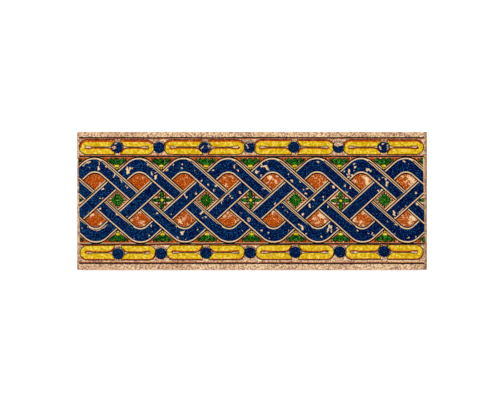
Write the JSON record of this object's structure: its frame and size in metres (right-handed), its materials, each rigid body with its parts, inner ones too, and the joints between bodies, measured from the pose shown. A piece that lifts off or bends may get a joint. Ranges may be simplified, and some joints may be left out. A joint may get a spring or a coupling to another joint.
{
  "type": "stair riser tile",
  "caption": "Flat rectangular ceramic tile for facing a stair riser, with an interlaced band and bead borders in coloured glaze and a grooved back.",
  "frame": {"origin": "middle of the back, on the surface that the tile rests on", "axes": "+X along the step, +Y up the riser when the tile is fixed, +Z out of the decorated face"},
  "size_m": [0.38, 0.15, 0.01],
  "materials": {
    "tile_body": "unglazed sand-coloured fired clay, fine speckle, matt",
    "blue_glaze": "cobalt blue glaze, speckled, worn to the body in patches",
    "ochre_glaze": "burnt orange glaze, mottled and worn",
    "green_glaze": "copper green glaze, mottled",
    "yellow_glaze": "antimony yellow glaze, mottled",
    "outline_glaze": "near-black drawn outline, matt"
  },
  "bodies": {
    "root": {"riser_tile": "tile_body"}
  },
  "joints": []
}
